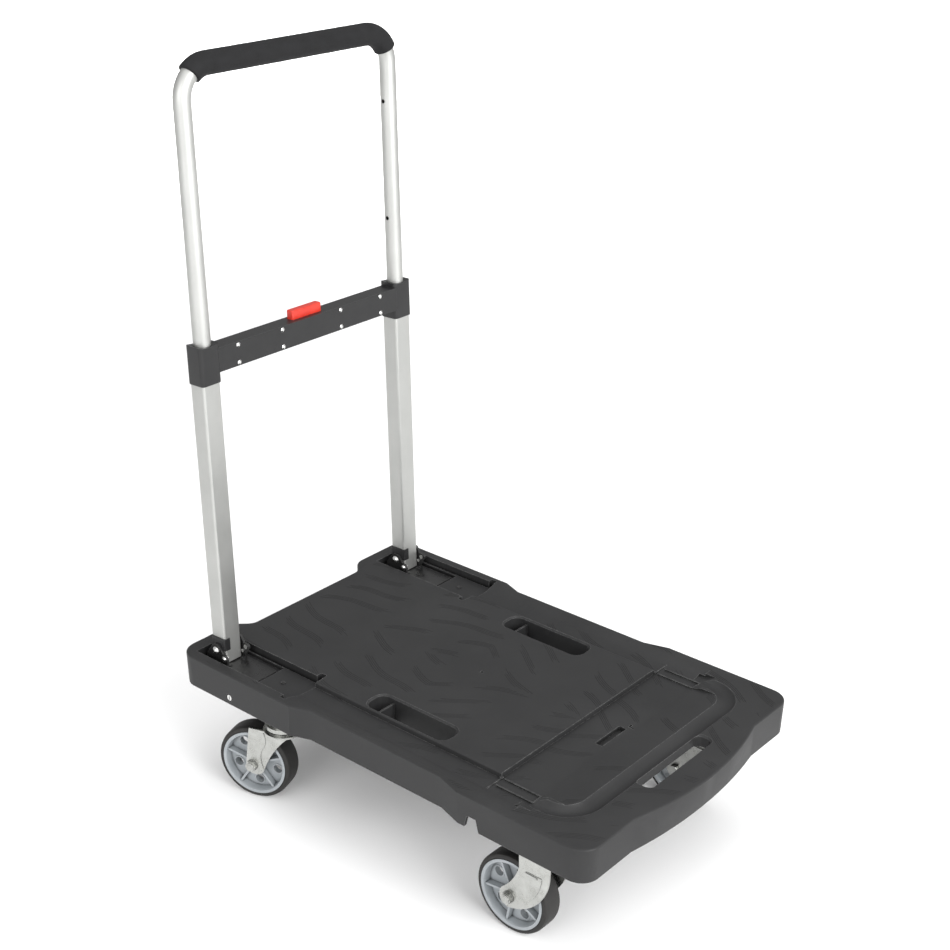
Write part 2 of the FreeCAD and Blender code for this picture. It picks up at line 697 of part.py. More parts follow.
def scooped_top(centre_x):
    """Saddle-shaped cut across a socket's top, front to back lower than its sides."""
    axis_z = SOCKET_HEAD + 56
    return rod(60, V(centre_x, -40, axis_z), V(centre_x, 40, axis_z))


def make_crossbar():
    """One moulding: two sockets that hold the posts and a hollow bar between them, open at the back."""
    pieces = []
    cuts = []
    for s in SIDES.values():
        x = s * HANDLE_X
        socket = rounded_box(x - SOCKET_HALF_W, x + SOCKET_HALF_W, -SOCKET_HALF_D, SOCKET_HALF_D,
                             SOCKET_FOOT, SOCKET_HEAD, 5)
        rim = [e for e in socket.Edges if e.BoundBox.ZMax < SOCKET_FOOT + 0.01]
        pieces.append(socket.makeFillet(1.2, rim))
        room = tube_section(POST_W + 0.2, POST_D + 0.2, 3.1, SOCKET_FOOT - 1, POST_HEAD + 0.1)
        cuts.append(moved(room, V(x, 0, 0)))
        cuts.append(rod(TUBE_R + 0.35, V(x, 0, POST_HEAD - 1), V(x, 0, SOCKET_HEAD + 1)))
        cuts.append(scooped_top(x))
        cuts.append(rod(2.8, V(x, 0, PIN_STATION), V(x - s * 25, 0, PIN_STATION)))
    inner = HANDLE_X - SOCKET_HALF_W
    pieces.append(box(-inner - 3, inner + 3, BAR_FRONT, BAR_BACK, BAR_FOOT, BAR_HEAD))
    hollow = box(-inner - 0.2, inner + 0.2, BAR_FRONT + 2.5, BAR_BACK + 1, BAR_FOOT + 2.5, BAR_HEAD - 2.5)
    columns = [rod(4.2, V(x, BAR_FRONT, z), V(x, BAR_BACK - 2.6, z)) for x, z in RIVETS]
    hollow = hollow.cut(fuse(columns))
    half_x, half_y = BUTTON_HALF
    button_slot = rounded_box(*grown((-half_x, half_x, -half_y, half_y), 0.4), BAR_HEAD - 4, BAR_HEAD + 1, 3)
    drills = [rod(2.0, V(x, BAR_FRONT - 1, z), V(x, BAR_BACK + 1, z)) for x, z in RIVETS]
    whole = fuse(pieces).cut(fuse([hollow, button_slot] + drills + cuts))
    return lean(whole)


def make_crossbar_cover():
    """Rear plate that closes the crossbar over the latch."""
    inner = HANDLE_X - SOCKET_HALF_W - 0.4
    plate = box(-inner, inner, BAR_BACK - 2.4, BAR_BACK, BAR_FOOT + 2.7, BAR_HEAD - 2.7)
    drills = [rod(2.0, V(x, 0, z), V(x, BAR_BACK + 1, z)) for x, z in RIVETS]
    return lean(plate.cut(fuse(drills)))


def make_crossbar_rivets():
    rivets = []
    for x, z in RIVETS:
        body = rod(1.95, V(x, BAR_FRONT, z), V(x, BAR_BACK, z))
        front = rod(2.9, V(x, BAR_FRONT - 0.5, z), V(x, BAR_FRONT, z))
        dome = Part.makeSphere(4.0, V(x, BAR_FRONT + 2.3, z)).common(
            box(x - 3, x + 3, BAR_FRONT - 3, BAR_FRONT - 0.5, z - 3, z + 3))
        back = rod(2.9, V(x, BAR_BACK, z), V(x, BAR_BACK + 0.8, z))
        rivets.append(fuse([body, front, dome, back]))
    return lean(group(rivets))


def make_guide(s):
    """Plastic bush in the post's head that the tube slides in."""
    wall = 2 * POST_WALL + 0.2
    outer = tube_section(POST_W - wall, POST_D - wall, 1.8, 366, POST_HEAD - 0.5)
    bore = rod(TUBE_R + 0.06, V(0, 0, 360), V(0, 0, 400))
    pin = rod(2.8, V(0, 0, PIN_STATION), V(-s * 20, 0, PIN_STATION))
    return moved(lean(outer.cut(fuse([bore, pin]))), V(s * HANDLE_X, 0, 0))


# ---------------------------------------------------------------- latch inside the crossbar
def make_button():
    half_x, half_y = BUTTON_HALF
    cap = rounded_box(-half_x, half_x, -half_y, half_y, BAR_HEAD - 5.5, 403.6, 2.6)
    top = [e for e in cap.Edges if e.BoundBox.ZMin > 403.5]
    cap = cap.makeFillet(1.6, top)
    flange = box(-half_x - 2, half_x + 2, -half_y - 1.6, half_y + 1.2, BAR_HEAD - 4.8, BAR_HEAD - 2.6)
    cam = box(-20, 20, -2, 2, 375, BAR_HEAD - 5)
    spring_seat = rod(2.6, V(0, 0, 373), V(0, 0, 376))
    return lean(fuse([cap, flange, cam, spring_seat]))


def make_lock_pin(s):
    """Cross pin that the button draws inward; its tip ends just short of the tube, opposite a hole."""
    tip = s * (HANDLE_X - TUBE_R - 0.35)
    pin = rod(2.4, V(s * 33, 0, PIN_STATION), V(tip, 0, PIN_STATION))
    collar = rod(4.6, V(s * 33, 0, PIN_STATION), V(s * 36, 0, PIN_STATION))
    return lean(fuse([pin, collar]))


def make_button_spring():
    """Small compression spring under the button."""
    wire_r = 0.45
    coil_r = 3.6
    height = 372.4 - (BAR_FOOT + 2.7) - 2 * wire_r
    helix = Part.makeHelix(height / 4.5, height, coil_r)
    section = Part.Wire(Part.makeCircle(wire_r, V(coil_r, 0, 0), Y))
    coil = Part.Wire(helix).makePipeShell([section], True, True)
    return lean(moved(coil, V(0, 0, BAR_FOOT + 2.7 + wire_r)))


# ---------------------------------------------------------------- upper handle
TUBE_FOOT = 340.0


def swept_tube(path, start, direction, radius):
    section = Part.Wire(Part.makeCircle(radius, start, direction))
    return path.makePipeShell([section], True, False)


def make_upper_tube():
    """One bent aluminium tube: two legs, two bends and the run under the grip."""
    path = bend_path(HANDLE_X, TUBE_FOOT, GRIP_AXIS, lambda x, a: V(x, 0, a), BEND_R, 1)
    start = path.OrderedVertexes[0].Point
    outer = swept_tube(path, start, Z, TUBE_R)
    inner = swept_tube(path, start, Z, TUBE_R - TUBE_WALL)
    holes = []
    for s in SIDES.values():
        for step in HOLE_STEPS:
            z = PIN_STATION + step
            holes.append(rod(2.7, V(s * HANDLE_X, 0, z), V(s * (HANDLE_X - 20), 0, z)))
    return lean(outer.cut(inner).cut(fuse(holes)))


def make_foam_grip():
    """Foam sleeve over the top run and part of each bend."""
    centre_a = GRIP_AXIS - BEND_R
    bend_x = HANDLE_X - BEND_R
    edges = [line(V(-bend_x, 0, GRIP_AXIS), V(bend_x, 0, GRIP_AXIS))]
    for s in SIDES.values():
        points = []
        for part in (0.0, 0.5, 1.0):
            angle = math.radians(GRIP_SWEEP[s]) * part
            points.append(V(s * (bend_x + BEND_R * math.sin(angle)), 0, centre_a + BEND_R * math.cos(angle)))
        edges.append(arc(*points))
    path = closed(edges)
    start = path.OrderedVertexes[0].Point
    tangent = path.OrderedEdges[0].tangentAt(path.OrderedEdges[0].FirstParameter)
    outer = swept_tube(path, start, tangent, GRIP_R)
    inner = swept_tube(path, start, tangent, TUBE_R + 0.02)
    return lean(outer.cut(inner))


def make_tube_plugs():
    """Plastic glides pressed into the tube's lower ends."""
    plugs = []
    for s in SIDES.values():
        x = s * HANDLE_X
        plug = rod(TUBE_R - TUBE_WALL - 0.05, V(x, 0, TUBE_FOOT), V(x, 0, TUBE_FOOT + 12))
        cap = rod(TUBE_R - 0.1, V(x, 0, TUBE_FOOT - 2.5), V(x, 0, TUBE_FOOT - 0.05))
        plugs.append(fuse([plug, cap, rod(5, V(x, 0, TUBE_FOOT - 1), V(x, 0, TUBE_FOOT + 2))]))
    return lean(group(plugs))


# ---------------------------------------------------------------- wheels
HOLE_CIRCLE = 29.0
RIBS = 5


def mirrored(points):
    """Closed (x, radius) profile from its +X half."""
    return points + [(-x, r) for x, r in reversed(points)]


def wheel_shapes():
    """Rim, tyre and bush about an axle along X through the origin."""
    w = RIM_HALF_WIDTH
    half_ring = [(4, 38.2), (w - 1.2, 39.4), (w, 40.2), (w, 43.6), (w - 1.6, 43.6), (w - 1.6, 43.0)]
    ring = revolve_x(mirrored(half_ring))
    web = revolve_x([(-3.2, 9), (-3.2, 39), (3.2, 39), (3.2, 9)])
    hub = revolve_x(mirrored([(13.4, 11.6), (15.2, 10.6), (15.2, 5.2)]))
    pieces = [ring, web, hub]
    holes = [rod(5.06, V(-30, 0, 0), V(30, 0, 0))]
    for i in range(RIBS):
        angle = 360.0 / RIBS * i
        rib = box(-11.5, 11.5, -1.3, 1.3, 8, 39.2)
        pieces.append(turned(rib, V(0, 0, 0), X, angle))
        seat = rod(7.6, V(-3.8, 0, HOLE_CIRCLE), V(3.8, 0, HOLE_CIRCLE))
        hole = rod(6.0, V(-20, 0, HOLE_CIRCLE), V(20, 0, HOLE_CIRCLE))
        pieces.append(turned(seat, V(0, 0, 0), X, angle + 180.0 / RIBS))
        holes.append(turned(hole, V(0, 0, 0), X, angle + 180.0 / RIBS))
    rim = fuse(pieces).cut(fuse(holes))
    t = TYRE_HALF_WIDTH
    half_tyre = [(0.5, WHEEL_RADIUS), (t - 4.2, 49.9), (t - 1.3, 49.0), (t, 47.0), (t, 44.2),
                 (t - 1.15, 43.7), (t - 1.15, 43.02)]
    tyre = revolve_x(mirrored(half_tyre))
    bush = revolve_x([(-15.7, 4.05), (-15.7, 5.05), (15.7, 5.05), (15.7, 4.05)])
    return rim, tyre, bush


def axle_bolt(outward):
    """Bolt through the fork and the bush, head on the inner side of the cart."""
    head = hexagon(13, V(-outward * 18.5, 0, 0), V(-outward * 5.2, 0, 0))
    shank = rod(4.0, V(-outward * 18.6, 0, 0), V(outward * 25.5, 0, 0))
    return fuse([head, shank])


def axle_nut(outward):
    washer = rod(7.4, V(outward * 18.45, 0, 0), V(outward * 19.6, 0, 0))
    nut = hexagon(12.6, V(outward * 19.6, 0, 0), V(outward * 4.6, 0, 0))
    collar = rod(5.6, V(outward * 24.0, 0, 0), V(outward * 25.2, 0, 0))
    bore = rod(4.02, V(outward * 10, 0, 0), V(outward * 40, 0, 0))
    return fuse([washer, nut, collar]).cut(bore)


# ---------------------------------------------------------------- forks
CHEEK_IN = 16.0
CHEEK_OUT = 18.4
SHEET = 2.4
CROWN_TOP = 104.0                  # swivel fork's upper face


def cheek_plate(runs, x0, x1):
    """Sheet between x0 and x1 from (forward of the axle, up from the floor) runs."""
    wire = run_wire(lambda forward, up: V(x0, -forward, up - WHEEL_RADIUS), runs)
    return prism(wire, V(x1 - x0, 0, 0))


FIXED_CHEEK = [
    [(13.5, MOUNT_PLANE), (14, 97)],
    [(14, 97), (6.5, 79), (-8.5, 60.5)],
    [(-8.5, 60.5), (-12.6, 47), (-1.5, 36)],
    [(-1.5, 36), (34, 53.5), (55.7, 98)],
    [(55.7, 98), (56.5, MOUNT_PLANE)],
    [(56.5, MOUNT_PLANE), (13.5, MOUNT_PLANE)],
]
FIXED_PANEL = [                    # raised stiffening panel pressed into the cheek
    [(24.5, 97), (12.5, 76), (11.5, 58)],
    [(11.5, 58), (17.5, 50.8), (26, 56)],
    [(26, 56), (40, 74), (46, 97)],
    [(46, 97), (24.5, 97)],
]
SWIVEL_CHEEK = [
    [(-2.5, 104), (-8.6, 52)],
    [(-8.6, 52), (-5.5, 41), (4, 37.2)],
    [(4, 37.2), (12, 40), (17.5, 49)],
    [(17.5, 49), (30, 74.5), (52, 101.4)],
    [(52, 101.4), (52, 104)],
    [(52, 104), (-2.5, 104)],
]
SWIVEL_FOLD = [                    # where the sheet steps inward, ahead of the wheel's hub
    [(14, 106), (20, 92), (15, 76)],
    [(15, 76), (12.5, 64), (22, 40)],
    [(22, 40), (60, 40)],
    [(60, 40), (60, 106)],
    [(60, 106), (14, 106)],
]


def make_front_fork(s):
    """Rigid sheet fork: mounting plate and two cheeks, about the wheel's axle."""
    top = MOUNT_PLANE - WHEEL_RADIUS
    forward = FRONT_AXLE_Y - FRONT_PLATE_Y
    half_x, half_y = FRONT_PLATE_HALF
    pieces = [rounded_box(-half_x, half_x, -forward - half_y, -forward + half_y, top - SHEET, top, 0.8)]
    for way in (-1, 1):
        x0, x1 = sorted((way * CHEEK_IN, way * CHEEK_OUT))
        pieces.append(cheek_plate(FIXED_CHEEK, x0, x1))
        p0, p1 = sorted((way * (CHEEK_OUT - 0.5), way * (CHEEK_OUT + 0.6)))
        pieces.append(cheek_plate(FIXED_PANEL, p0, p1))
        bead = way * (CHEEK_OUT + 0.2)
        pieces.append(rod(1.7, V(bead, -40, 44.7), V(bead, -24, 44.7)))
    drills = [rod(4.1, V(-30, 0, 0), V(30, 0, 0))]
    for dx, dy in FRONT_PLATE_BOLTS:
        drills.append(rod(2.7, V(dx, -forward + dy, top - 5), V(dx, -forward + dy, top + 2)))
    fork = fuse(pieces).cut(fuse(drills))
    return moved(fork, V(s * CASTER_X, FRONT_AXLE_Y, WHEEL_RADIUS))


def make_swivel_fork():
    """Swivel fork about the wheel's axle; the kingpin stands TRAIL ahead of it."""
    top = CROWN_TOP - WHEEL_RADIUS
    pieces = [rod(25.5, V(0, -TRAIL, top - SHEET), V(0, -TRAIL, top)),
              box(-CHEEK_OUT, CHEEK_OUT, -52, -16, top - SHEET, top)]
    cuts = [rod(5.1, V(0, -TRAIL, 0), V(0, -TRAIL, 90)), rod(4.1, V(-30, 0, 0), V(30, 0, 0))]
    for way in (-1, 1):
        x0, x1 = sorted((way * CHEEK_IN, way * CHEEK_OUT))
        pieces.append(cheek_plate(SWIVEL_CHEEK, x0, x1))
        c0, c1 = sorted((way * (CHEEK_OUT - 0.8), way * (CHEEK_OUT + 1)))
        step = cheek_plate(SWIVEL_FOLD, c0, c1)
        cuts.append(step.cut(box(-30, 30, -70, 0, top - SHEET, top + 5)))
    return fuse(pieces).cut(fuse(cuts))


def make_lower_race():
    """Ball cup that turns with the fork."""
    z = CROWN_TOP - WHEEL_RADIUS
    cup = rod(20.5, V(0, -TRAIL, z), V(0, -TRAIL, z + 3.4))
    lip = rod(22.0, V(0, -TRAIL, z + 0.02), V(0, -TRAIL, z + 1.5))
    bore = rod(5.1, V(0, -TRAIL, 0), V(0, -TRAIL, 90))
    return fuse([cup, lip]).cut(bore)


def swivel_place(shape, s):
    """From the axle frame to a rear caster, turned about its kingpin."""
    copy = moved(shape, V(0, TRAIL, 0))
    copy = turned(copy, V(0, 0, 0), Z, math.degrees(SWIVEL_ANGLE))
    return moved(copy, V(s * CASTER_X, KINGPIN_Y, WHEEL_RADIUS))


def make_rear_plate(s):
    """Top plate with the upper ball cup on its neck."""
    x = s * CASTER_X
    half_x, half_y = REAR_PLATE_HALF
    plate = rounded_box(x - half_x, x + half_x, KINGPIN_Y - half_y, KINGPIN_Y + half_y,
                        MOUNT_PLANE - SHEET, MOUNT_PLANE, 4)
    cup = rod(23.0, V(x, KINGPIN_Y, 108.0), V(x, KINGPIN_Y, 113.0))
    neck = rod(17.5, V(x, KINGPIN_Y, 112.0), V(x, KINGPIN_Y, MOUNT_PLANE - 1))
    drills = [rod(4.9, V(x, KINGPIN_Y, 90), V(x, KINGPIN_Y, 130))]
    for dx, dy in REAR_PLATE_BOLTS:
        drills.append(rod(2.7, V(x + dx, KINGPIN_Y + dy, 105), V(x + dx, KINGPIN_Y + dy, 130)))
    return fuse([plate, cup, neck]).cut(fuse(drills))


def make_kingpin(s):
    """Rivet that holds the fork up against the balls."""
    x = s * CASTER_X
    shank = rod(4.88, V(x, KINGPIN_Y, 100.5), V(x, KINGPIN_Y, MOUNT_PLANE - 0.05))
    shank = shank.fuse(rod(5.03, V(x, KINGPIN_Y, 101.0), V(x, KINGPIN_Y, 107.4)))
    head = rod(8.2, V(x, KINGPIN_Y, 98.2), V(x, KINGPIN_Y, 101.3))
    return fuse([shank, head])


def make_plate_bolts(plate_y, places):
    bolts = []
    for s in SIDES.values():
        for dx, dy in places:
            foot = V(s * CASTER_X + dx, plate_y + dy, MOUNT_PLANE - SHEET)
            shank = rod(2.55, foot, foot + V(0, 0, 20))
            head = rod(4.6, foot - V(0, 0, 2.6), foot)
            cap = Part.makeCone(3.4, 4.6, 0.9, foot - V(0, 0, 3.5), Z)
            bolts.append(fuse([shank, head, cap]))
    return group(bolts)


# ---------------------------------------------------------------- assembly
def main():
    export("deck", make_deck())
    export("stop_pins", make_stop_pins())
    export("bracket_screws", make_bracket_screws())
    export("deck_screws", make_deck_screws())
    export("front_plate_bolts", make_plate_bolts(FRONT_PLATE_Y, FRONT_PLATE_BOLTS))
    export("rear_plate_bolts", make_plate_bolts(KINGPIN_Y, REAR_PLATE_BOLTS))
    export("crossbar", make_crossbar())
    export("crossbar_cover", make_crossbar_cover())
    export("crossbar_rivets", make_crossbar_rivets())
    export("release_button", make_button())
    export("button_spring", make_button_spring())
    export("upper_tube", make_upper_tube())
    export("foam_grip", make_foam_grip())
    export("tube_plugs", make_tube_plugs())
    rim, tyre, bush = wheel_shapes()
    front_turn = {"left": 47.0, "right": -31.0}
    rear_turn = {"left": -3.0, "right": 17.0}
    for side, s in SIDES.items():
        export("hinge_bracket_" + side, make_bracket(s))
        export("hinge_pin_" + side, make_hinge_pin(s))
        export("hinge_bar_" + side, make_hinge_bar(s))
        export("post_" + side, make_post(s))
        export("post_shoe_" + side, make_shoe(s))
        export("guide_bush_" + side, make_guide(s))
        export("lock_pin_" + side, make_lock_pin(s))

        front = V(s * CASTER_X, FRONT_AXLE_Y, WHEEL_RADIUS)
        export("front_fork_" + side, make_front_fork(s))
        export("front_axle_" + side, moved(axle_bolt(s), front))
        export("front_nut_" + side, moved(axle_nut(s), front))
        for name, shape in (("rim", rim), ("tyre", tyre), ("bush", bush)):
            placed = moved(turned(shape, V(0, 0, 0), X, front_turn[side]), front)
            export("front_%s_%s" % (name, side), placed)

        export("rear_plate_" + side, make_rear_plate(s))
        export("kingpin_" + side, make_kingpin(s))
        export("swivel_fork_" + side, swivel_place(make_swivel_fork(), s))
        export("swivel_race_" + side, swivel_place(make_lower_race(), s))
        export("rear_axle_" + side, swivel_place(axle_bolt(s), s))
        export("rear_nut_" + side, swivel_place(axle_nut(s), s))
        for name, shape in (("rim", rim), ("tyre", tyre), ("bush", bush)):
            turned_shape = turned(shape, V(0, 0, 0), X, rear_turn[side])
            export("rear_%s_%s" % (name, side), swivel_place(turned_shape, s))


main()
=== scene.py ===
"""Folding platform cart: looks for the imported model, in metres, in the model's own frame."""
import json
import math
import random

import bmesh
import bpy
from mathutils import Matrix, Vector, noise as field
from mathutils.bvhtree import BVHTree


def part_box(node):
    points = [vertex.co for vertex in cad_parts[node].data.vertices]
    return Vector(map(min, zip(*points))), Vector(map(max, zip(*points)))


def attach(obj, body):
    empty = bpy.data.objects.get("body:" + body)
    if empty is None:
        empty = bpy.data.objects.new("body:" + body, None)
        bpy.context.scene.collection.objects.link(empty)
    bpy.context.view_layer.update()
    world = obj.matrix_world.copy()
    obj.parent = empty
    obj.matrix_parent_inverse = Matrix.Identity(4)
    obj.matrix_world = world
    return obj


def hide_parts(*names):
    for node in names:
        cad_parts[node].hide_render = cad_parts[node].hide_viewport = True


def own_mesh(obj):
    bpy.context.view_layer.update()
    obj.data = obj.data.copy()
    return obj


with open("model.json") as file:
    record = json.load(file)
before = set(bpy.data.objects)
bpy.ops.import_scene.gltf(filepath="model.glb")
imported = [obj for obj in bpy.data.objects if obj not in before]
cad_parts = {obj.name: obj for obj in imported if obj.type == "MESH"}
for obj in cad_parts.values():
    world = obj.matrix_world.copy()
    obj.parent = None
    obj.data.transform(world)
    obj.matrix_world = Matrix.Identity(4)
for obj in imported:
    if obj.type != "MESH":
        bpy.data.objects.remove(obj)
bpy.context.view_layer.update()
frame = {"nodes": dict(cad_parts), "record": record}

NODES = frame["nodes"]
RECORD = frame["record"]
BODY_OF = {n: b for b, members in RECORD["behaviour"]["bodies"].items() for n in members}
SLOT_OF = {s["node"]: s["material_slot"] for s in RECORD["subparts"]}
SIDES = {"left": -1, "right": 1}
MM = 0.001


# ---------------------------------------------------------------- materials
def new_material(name):
    mat = bpy.data.materials.new(name)
    mat.use_nodes = True
    tree = mat.node_tree
    return mat, tree, tree.nodes["Principled BSDF"]


def add(tree, kind, **settings):
    node = tree.nodes.new(kind)
    for key, value in settings.items():
        if key in node.inputs:
            node.inputs[key].default_value = value
        else:
            setattr(node, key, value)
    return node


def noise(tree, coords, scale, detail=4.0, roughness=0.55):
    node = add(tree, "ShaderNodeTexNoise")
    node.inputs["Scale"].default_value = scale
    node.inputs["Detail"].default_value = detail
    node.inputs["Roughness"].default_value = roughness
    tree.links.new(coords, node.inputs["Vector"])
    return node.outputs["Fac"]


def ramp(tree, value, low, high, out_low, out_high):
    """Maps a value's range low..high onto out_low..out_high, clamped."""
    node = add(tree, "ShaderNodeMapRange")
    node.inputs["From Min"].default_value = low
    node.inputs["From Max"].default_value = high
    node.inputs["To Min"].default_value = out_low
    node.inputs["To Max"].default_value = out_high
    tree.links.new(value, node.inputs["Value"])
    return node.outputs["Result"]


def mix_colour(tree, factor, a, b):
    node = add(tree, "ShaderNodeMix", data_type="RGBA")
    tree.links.new(factor, node.inputs["Factor"])
    for index, colour in ((6, a), (7, b)):
        if isinstance(colour, tuple):
            node.inputs[index].default_value = (*colour, 1)
        else:
            tree.links.new(colour, node.inputs[index])
    return node.outputs[2]


def maths(tree, operation, a, b=None):
    node = add(tree, "ShaderNodeMath", operation=operation)
    for index, value in enumerate((a, b)):
        if value is None:
            continue
        if isinstance(value, (int, float)):
            node.inputs[index].default_value = value
        else:
            tree.links.new(value, node.inputs[index])
    return node.outputs[0]


def edge_wear_and_highlight(tree, radius):
    """1 on outer edges and 0 on flat ground, from how far a small bevel turns the normal."""
    bevel = add(tree, "ShaderNodeBevel", samples=4)
    bevel.inputs["Radius"].default_value = radius
    geometry = add(tree, "ShaderNodeNewGeometry")
    dot = add(tree, "ShaderNodeVectorMath", operation="DOT_PRODUCT")
    tree.links.new(bevel.outputs["Normal"], dot.inputs[0])
    tree.links.new(geometry.outputs["Normal"], dot.inputs[1])
    return ramp(tree, dot.outputs["Value"], 0.99, 0.8, 0.0, 1.0)


def shade(tree, distance):
    """1 in the open and towards 0 in grooves and inner corners."""
    node = add(tree, "ShaderNodeAmbientOcclusion", samples=6)
    node.inputs["Distance"].default_value = distance
    return node.outputs["AO"]


def surface(name, dark, light, rough, metal=0.0, grain=900.0, grain_depth=0.00004, grain_strength=0.35,
            blotch=14.0, wear_and_highlight=None, wear_and_highlight_radius=0.0012, streak=None, specular=0.5, painted_corner_shade=0.0):
    """A finish with blotchy colour, varied roughness, fine grain, paler edges that are wear and, on the deck,
    a painted highlight, and painted shade darkening its corners.
    """
    mat, tree, shader = new_material(name)
    coords = add(tree, "ShaderNodeTexCoord").outputs["Object"]
    if streak:
        mapping = add(tree, "ShaderNodeMapping")
        mapping.inputs["Scale"].default_value = streak
        tree.links.new(coords, mapping.inputs["Vector"])
        fine_coords = mapping.outputs["Vector"]
    else:
        fine_coords = coords
    broad = noise(tree, coords, blotch, 5.0, 0.6)
    fine = noise(tree, fine_coords, grain, 3.0, 0.6)
    colour = mix_colour(tree, ramp(tree, broad, 0.3, 0.7, 0.0, 1.0), dark, light)
    # Paler edges: wear on most finishes, and on the deck a painted highlight standing in for the light on
    # rounded edges.
    if wear_and_highlight:
        patchy = noise(tree, coords, 160.0, 4.0, 0.6)
        edge = maths(tree, "MULTIPLY", edge_wear_and_highlight(tree, wear_and_highlight_radius), ramp(tree, patchy, 0.35, 0.6, 0.25, 1.0))
        colour = mix_colour(tree, edge, colour, wear_and_highlight)
    # Painted shade: the colour darkens towards the shadow colour where ambient occlusion finds grooves and
    # inner corners.
    if painted_corner_shade:
        painted_shade_mask = ramp(tree, shade(tree, painted_corner_shade), 0.35, 0.85, 1.0, 0.0)
        colour = mix_colour(tree, painted_shade_mask, colour, tuple(0.3 * c for c in dark))
    tree.links.new(colour, shader.inputs["Base Color"])
    mixed = maths(tree, "ADD", maths(tree, "MULTIPLY", broad, 0.6), maths(tree, "MULTIPLY", fine, 0.4))
    tree.links.new(ramp(tree, mixed, 0.3, 0.7, rough[0], rough[1]), shader.inputs["Roughness"])
    shader.inputs["Metallic"].default_value = metal
    shader.inputs["Specular IOR Level"].default_value = specular
    bump = add(tree, "ShaderNodeBump")
    bump.inputs["Strength"].default_value = grain_strength
    bump.inputs["Distance"].default_value = grain_depth
    tree.links.new(fine, bump.inputs["Height"])
    tree.links.new(bump.outputs["Normal"], shader.inputs["Normal"])
    return mat


# Finishes given a corner distance get painted shade in their grooves and inner corners.
MATERIALS = {
    # The deck's pale edge colour is a painted highlight along its rounded edges.
    "deck_plastic": surface("deck_plastic", (0.016, 0.016, 0.0165), (0.024, 0.024, 0.0245), (0.44, 0.60),
                            grain=1500.0, grain_depth=0.00006, blotch=9.0, wear_and_highlight=(0.17, 0.17, 0.17),
                            specular=0.3, painted_corner_shade=0.007),
    # The ribs' finish is darker than the deck's: painted shade along the anti-slip ribs.
    "slip_rib_painted_shade": surface("slip_rib_painted_shade", (0.0095, 0.0095, 0.0098), (0.017, 0.017, 0.0175), (0.46, 0.64),
                        grain=1500.0, blotch=30.0, specular=0.22),
    "black_plastic": surface("black_plastic", (0.010, 0.010, 0.0105), (0.015, 0.015, 0.0155), (0.32, 0.48),
                             grain=1400.0, blotch=40.0, wear_and_highlight=(0.05, 0.05, 0.05), wear_and_highlight_radius=0.0006,
                             specular=0.4),
    "red_plastic": surface("red_plastic", (0.50, 0.024, 0.013), (0.60, 0.036, 0.018), (0.3, 0.42),
                           grain=900.0, blotch=60.0, wear_and_highlight=(0.75, 0.10, 0.06), wear_and_highlight_radius=0.0005),
    "grey_plastic": surface("grey_plastic", (0.25, 0.27, 0.285), (0.30, 0.32, 0.335), (0.34, 0.48),
                            grain=1200.0, blotch=50.0, wear_and_highlight=(0.45, 0.47, 0.48), wear_and_highlight_radius=0.0006,
                            painted_corner_shade=0.004),
    "tyre_rubber": surface("tyre_rubber", (0.012, 0.0115, 0.011), (0.021, 0.020, 0.019), (0.5, 0.7),
                           grain=1100.0, grain_depth=0.00008, blotch=35.0, wear_and_highlight=(0.045, 0.043, 0.040),
                           specular=0.35),
    "foam": surface("foam", (0.007, 0.007, 0.0075), (0.013, 0.013, 0.014), (0.6, 0.78), grain=1300.0,
                    grain_depth=0.0004, grain_strength=0.8, blotch=70.0, specular=0.22),
    "aluminium_tube": surface("aluminium_tube", (0.44, 0.444, 0.43), (0.50, 0.504, 0.49), (0.46, 0.56),
                              metal=1.0, grain=500.0, grain_depth=0.00001, grain_strength=0.25, blotch=14.0,
                              streak=(1.0, 1.0, 0.02), wear_and_highlight=(0.60, 0.60, 0.59), wear_and_highlight_radius=0.0005),
    "zinc_steel": surface("zinc_steel", (0.38, 0.384, 0.365), (0.52, 0.524, 0.505), (0.22, 0.36), metal=1.0,
                          grain=600.0, grain_depth=0.00002, blotch=55.0, wear_and_highlight=(0.74, 0.74, 0.73),
                          wear_and_highlight_radius=0.0005, painted_corner_shade=0.003),
    "bright_steel": surface("bright_steel", (0.62, 0.62, 0.61), (0.74, 0.74, 0.73), (0.16, 0.28), metal=1.0,
                            grain=900.0, grain_depth=0.00001, blotch=120.0, painted_corner_shade=0.0015),
    "black_steel": surface("black_steel", (0.009, 0.009, 0.009), (0.016, 0.016, 0.016), (0.22, 0.40),
                           grain=700.0, grain_depth=0.00004, blotch=60.0, wear_and_highlight=(0.14, 0.14, 0.14),
                           wear_and_highlight_radius=0.0005),
}


# ---------------------------------------------------------------- making pieces
def keep(obj, body, slot, replaced=(), finish=None):
    """Puts a finished piece on its body, with its slot's finish or another."""
    if obj.name not in bpy.context.scene.collection.objects:
        bpy.context.scene.collection.objects.link(obj)
    obj.data.materials.clear()
    obj.data.materials.append(MATERIALS[finish or slot])
    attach(obj, body)
    if replaced:
        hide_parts(*replaced)
    return obj


def mesh_object(name, bm, sharp=32.0):
    mesh = bpy.data.meshes.new(name)
    bm.to_mesh(mesh)
    bm.free()
    mesh.shade_smooth()
    mesh.set_sharp_from_angle(angle=math.radians(sharp))
    return bpy.data.objects.new(name, mesh)


def welded(node):
    """A CAD node's mesh with its seams joined and, unless its flats are rings, its flat faces whole."""
    bm = bmesh.new()
    bm.from_mesh(NODES[node].data)
    bmesh.ops.remove_doubles(bm, verts=bm.verts, dist=2e-6)
    if kind_of(node) not in RING_FACED:
        bmesh.ops.dissolve_limit(bm, angle_limit=math.radians(0.6), verts=bm.verts, edges=bm.edges)
    return bm


